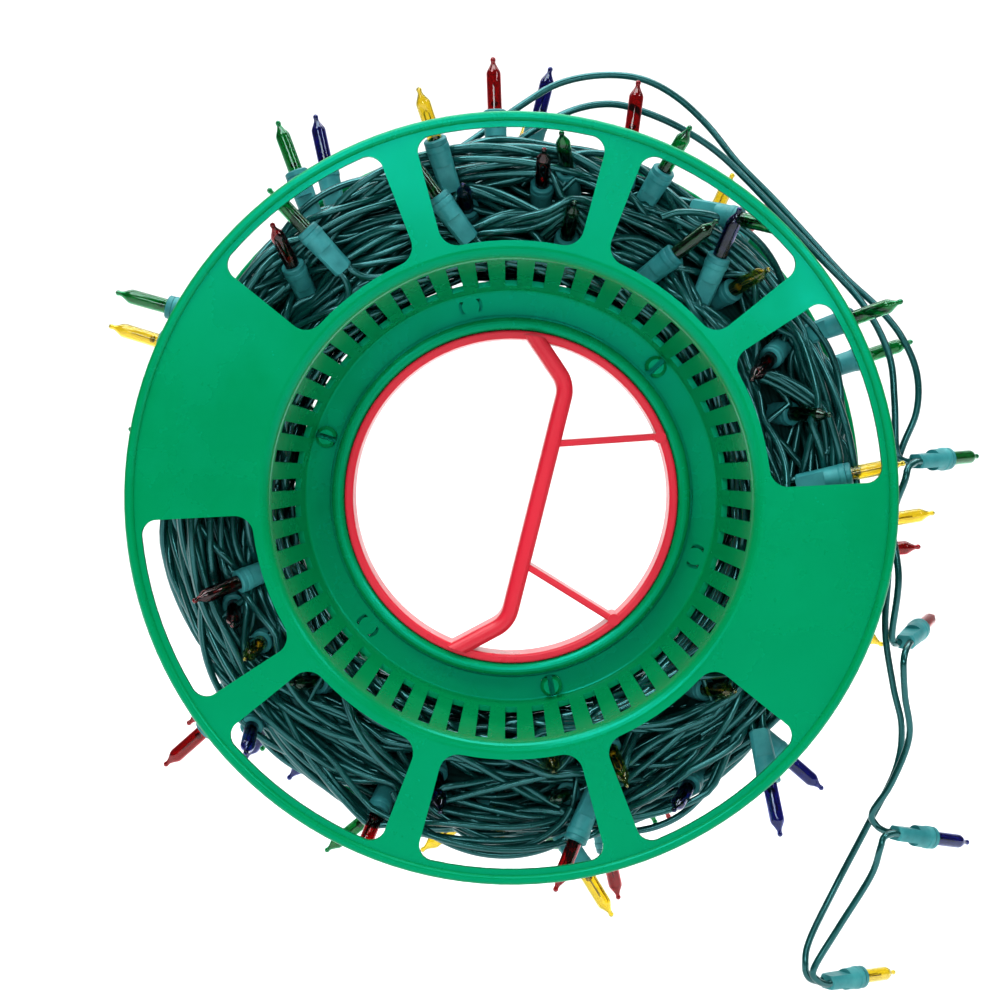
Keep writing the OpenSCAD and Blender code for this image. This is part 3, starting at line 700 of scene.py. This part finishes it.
def heart_of_winding():
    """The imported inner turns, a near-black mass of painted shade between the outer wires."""
    outline = heart_outline()
    mesh = bpy.data.meshes.new("inner_turns")
    mesh.from_pydata([(r * MM, y * MM, 0) for r, y in outline],
                     [(i, (i + 1) % len(outline)) for i in range(len(outline))], [])
    obj = bpy.data.objects.new("inner_turns", mesh)
    bpy.context.scene.collection.objects.link(obj)
    only(obj)
    bpy.ops.object.mode_set(mode="EDIT")
    bpy.ops.mesh.select_all(action="SELECT")
    bpy.ops.mesh.spin(steps=96, dupli=False, angle=2 * math.pi, center=(0, 0, 0), axis=(0, 1, 0))
    bpy.ops.mesh.select_all(action="SELECT")
    bpy.ops.mesh.remove_doubles(threshold=1e-6)
    bpy.ops.mesh.normals_make_consistent(inside=False)
    bpy.ops.object.mode_set(mode="OBJECT")
    bpy.ops.object.shade_smooth()
    return obj


finish_piece(heart_of_winding(), inner_painted_shade, "spool", "wire_green", "winding_core")


# -------------------------------------------------------------- free wires

WIRE_ENTRY = 2.0         # mm from a tail lamp's axis to where a wire enters its holder
WIRE_BEND = 6.0          # mm, radius of a wire's bend at a holder
# Points along each free wire, in mm, up to its bends at the holders.
RETURN_ROUTE = [
    (-46, 0, 100), (-31, -1, 109), (-13, -1, 121), (4, 0, 133), (16, 1, 140),
    (30, 2, 143), (44, 3, 142), (56, 3, 136), (67, 3, 126), (77, 4, 114),
    (89, 4, 102), (102, 4, 88), (114, 4, 75), (126, 4, 64), (134, 4, 54),
    (139, 4, 42), (139, 4, 29), (134, 4, 16), (129, 4, -2), (130, 4, -24),
    (129, 4, -46), (132, 4, -66), (135, 4, -80), (133, 4, -95), (124, 5, -114),
    (113, 4, -135), (103, -1, -153)]
FEED_ROUTES = [
    [(-22, 2, 107), (-7, 2, 114), (7, 1, 124), (21, 0, 131), (34, 0, 133), (46, 0, 130),
     (59, 0, 124), (72, 0, 115), (88, 0, 99), (104, -1, 82), (119, -1, 66), (128, -2, 49),
     (130, -3, 33)],
    [(129, -6, -8), (131, -8, -27)],
    [(134, -6, -68), (136, -4, -82), (130, -4, -98)],
    [(123, -5, -130), (112, -5, -148)]]


def entry(lamp, side, above):
    """A wire's last points at a tail lamp, in mm: a quarter bend, a straight run and the entry.

    side is the side of the lamp's axis, 1 or -1; above is 1 for a wire from above, -1 from below.
    """
    axis = np.array(lamp.col[2][:3])
    end = np.array(lamp.translation) / MM
    across = np.array([-axis[1], axis[0], 0]) / math.hypot(axis[0], axis[1])
    end = end + side * WIRE_ENTRY * across
    start = end - WIRE * axis
    up = np.array([0, 0, 1.0])
    bend = [start + WIRE_BEND * (above * (1 - math.cos(a)) * up - math.sin(a) * axis)
            for a in (math.pi / 2, math.pi / 4)]
    return [*bend, start, end]


def free_wire(name, points):
    """One wire of the hanging end, drawn in place of its CAD node."""
    run = smooth_run(points) * MM
    piece = drawn_wires(f"{name}_run", [run], WIRE * MM, 12)
    finish_piece(piece, wire_skin, "spool", "wire_green", name)


free_wire("return_wire", RETURN_ROUTE + entry(tail_lamps[-1], 1, 1))
for i, route in enumerate(FEED_ROUTES):
    start = entry(tail_lamps[i - 1], -1, -1)[::-1] if i else []
    last = i + 1 == len(tail_lamps)             # return_wire takes its other side
    end = entry(tail_lamps[i], -1 if last else 1, 1)
    free_wire(f"feed_wire_{i + 1}", start + route + end)


# -------------------------------------------------------------- lamp leads

LEAD_APART = 1.9         # mm from a lamp's axis to each of its two wires
LEAD_LEAN = 0.35         # how much they turn in towards the hub
LEAD_BEND = [(-1.0, 0), (2.5, 0), (6, 2.5), (7.5, 9), (7.0, 17)]     # mm behind the foot, and aside
LEAD_REACH = 31          # furthest y, just inside the flanges


def lead_runs():
    """Two wires from the foot of each wound lamp, which bend over into the winding."""
    runs = []
    for place in wound_lamps:
        foot = np.array(place.translation) / MM
        axis = np.array(place.col[2][:3])
        out = np.array([foot[0], 0, foot[2]]) / math.hypot(foot[0], foot[2])
        round_reel = np.array([-out[2], 0, out[0]])
        across = np.array([-axis[2], 0, axis[0]]) / math.hypot(axis[0], axis[2])
        for side in (-1, 1):
            begin = foot + side * LEAD_APART * across
            heading = side * round_reel - LEAD_LEAN * out
            points = [begin - back * axis + aside * heading for back, aside in LEAD_BEND]
            x, y, z = smooth_run(points, 4).T
            y = np.clip(y, -LEAD_REACH, LEAD_REACH)
            r = np.hypot(x, z)
            out_to = np.clip(r, hub_edge(y) + WIRE / 2 + HUB_ROOM, None) / r
            runs.append(np.column_stack([x * out_to, y, z * out_to]) * MM)
    return runs


finish_piece(drawn_wires("lamp_foot_wires", lead_runs(), WIRE * MM), wire_skin, "spool", "wire_green")


# ------------------------------------------------------ carried-over parts

def dress(node, material):
    """Gives a CAD piece that the scene keeps its material."""
    data = nodes[node].data
    data.materials.clear()
    data.materials.append(material)


for node in ("front_half", "rear_half"):
    dress(node, reel_plastic)
dress("handle", grip_plastic)
for group in ("front_lamp", "rear_lamp", "rim_lamp"):
    dress(f"{group}_holders", holder_plastic)
    dress(f"{group}_bases", base_plastic)
for i in range(len(tail_lamps)):
    dress(f"tail_holder_{i + 1}", holder_plastic)
    dress(f"tail_base_{i + 1}", base_plastic)


# --------------------------------------------------------- floor and light

FLOOR_DROP = 0.03        # metres, from the lowest point of the part down to the sheet
FLOOR_HALF = 4           # half its width, then where it begins and where the bend begins
FLOOR_FRONT = -3
FLOOR_BACK = 1.6
BEND_STEPS = 12          # the quarter bend behind, in straight steps
BEND_STEP = 0.16
BACK_HEIGHT = 3
FLOOR_SCALE = 3          # of its faint clouds


def add_floor():
    """A pale sheet that runs along the floor and curves up behind."""
    low = cad_box[0].z - FLOOR_DROP
    bpy.ops.object.select_all(action="DESELECT")
    bpy.ops.mesh.primitive_plane_add(size=1, location=(0, 0, low))
    floor = bpy.context.view_layer.objects.active
    floor.name = "floor"
    bpy.ops.object.transform_apply(location=True)
    for v in floor.data.vertices:
        v.co = (FLOOR_HALF * v.co.x / 0.5, FLOOR_FRONT if v.co.y < 0 else FLOOR_BACK, low)
    bpy.ops.object.mode_set(mode="EDIT")
    bpy.ops.mesh.select_mode(type="EDGE")
    bpy.ops.mesh.select_all(action="DESELECT")
    bpy.ops.object.mode_set(mode="OBJECT")
    for e in floor.data.edges:
        e.select = all(floor.data.vertices[i].co.y > 1 for i in e.vertices)
    bpy.ops.object.mode_set(mode="EDIT")
    for i in range(BEND_STEPS):
        a = math.pi / 2 / BEND_STEPS * (i + 0.5)
        bpy.ops.mesh.extrude_region_move(TRANSFORM_OT_translate={
            "value": (0, BEND_STEP * math.cos(a), BEND_STEP * math.sin(a))})
    bpy.ops.mesh.extrude_region_move(TRANSFORM_OT_translate={"value": (0, 0, BACK_HEIGHT)})
    bpy.ops.object.mode_set(mode="OBJECT")
    bpy.ops.object.shade_smooth()
    material, tree, shader = new_material("floor_paint", Roughness=0.9, Specular_IOR_Level=0.1)
    shade = noise(tree, place_of(tree), FLOOR_SCALE)
    tree.links.new(ramp(tree, shade, 0.2, 0.8, (0.90, 0.90, 0.90), (0.93, 0.93, 0.93)),
                   shader.inputs["Base Color"])
    floor.data.materials.append(material)


WORLD_STRENGTH = 0.08
WHITE = (1, 1, 1)
COOL = (0.86, 0.98, 1.0)
CYAN = (0.8, 1, 1)


def add_light(name, place, aim, size, power, colour):
    """A rectangular lamp at a place, turned to its aim; metres and watts."""
    data = bpy.data.lights.new(name, "AREA")
    data.shape = "RECTANGLE"
    data.size, data.size_y = size
    data.energy = power
    data.color = colour
    light = bpy.data.objects.new(name, data)
    light.location = place
    light.rotation_euler = (Vector(aim) - Vector(place)).to_track_quat("-Z", "Y").to_euler()
    bpy.context.scene.collection.objects.link(light)


def add_world():
    """Even white light from all round."""
    world = bpy.data.worlds.new("studio")
    world.use_nodes = True
    background = world.node_tree.nodes["Background"]
    background.inputs["Color"].default_value = (*WHITE, 1)
    background.inputs["Strength"].default_value = WORLD_STRENGTH
    bpy.context.scene.world = world


add_floor()
add_world()
add_light("key_softbox", (-0.5, -0.8, 1.05), (0, 0, 0.02), (0.6, 0.45), 8.5, COOL)
add_light("side_softbox", (1.0, -0.75, 0.75), (0, 0, 0), (0.25, 0.5), 4, COOL)
add_light("right_sheen_softbox", (0.27, -1.2, 0.17), (0.09, 0, 0.07), (0.22, 0.12), 0.9, CYAN)
add_light("top_softbox", (0.0, -0.35, 1.2), (0, 0, 0), (1.0, 0.4), 10, CYAN)
add_light("sheen_softbox", (-0.18, -1.2, 0.33), (0, 0, 0.08), (0.5, 0.2), 3, CYAN)
add_light("sheet_light", (0, 0.55, 1.3), (0, 1.9, 0.15), (3.2, 0.8), 60, WHITE)
add_light("floor_light", (0, 0.5, 1.9), (0, 1.0, -0.2), (2.6, 1.2), 21, WHITE)
bpy.context.scene.view_settings.view_transform = "Standard"
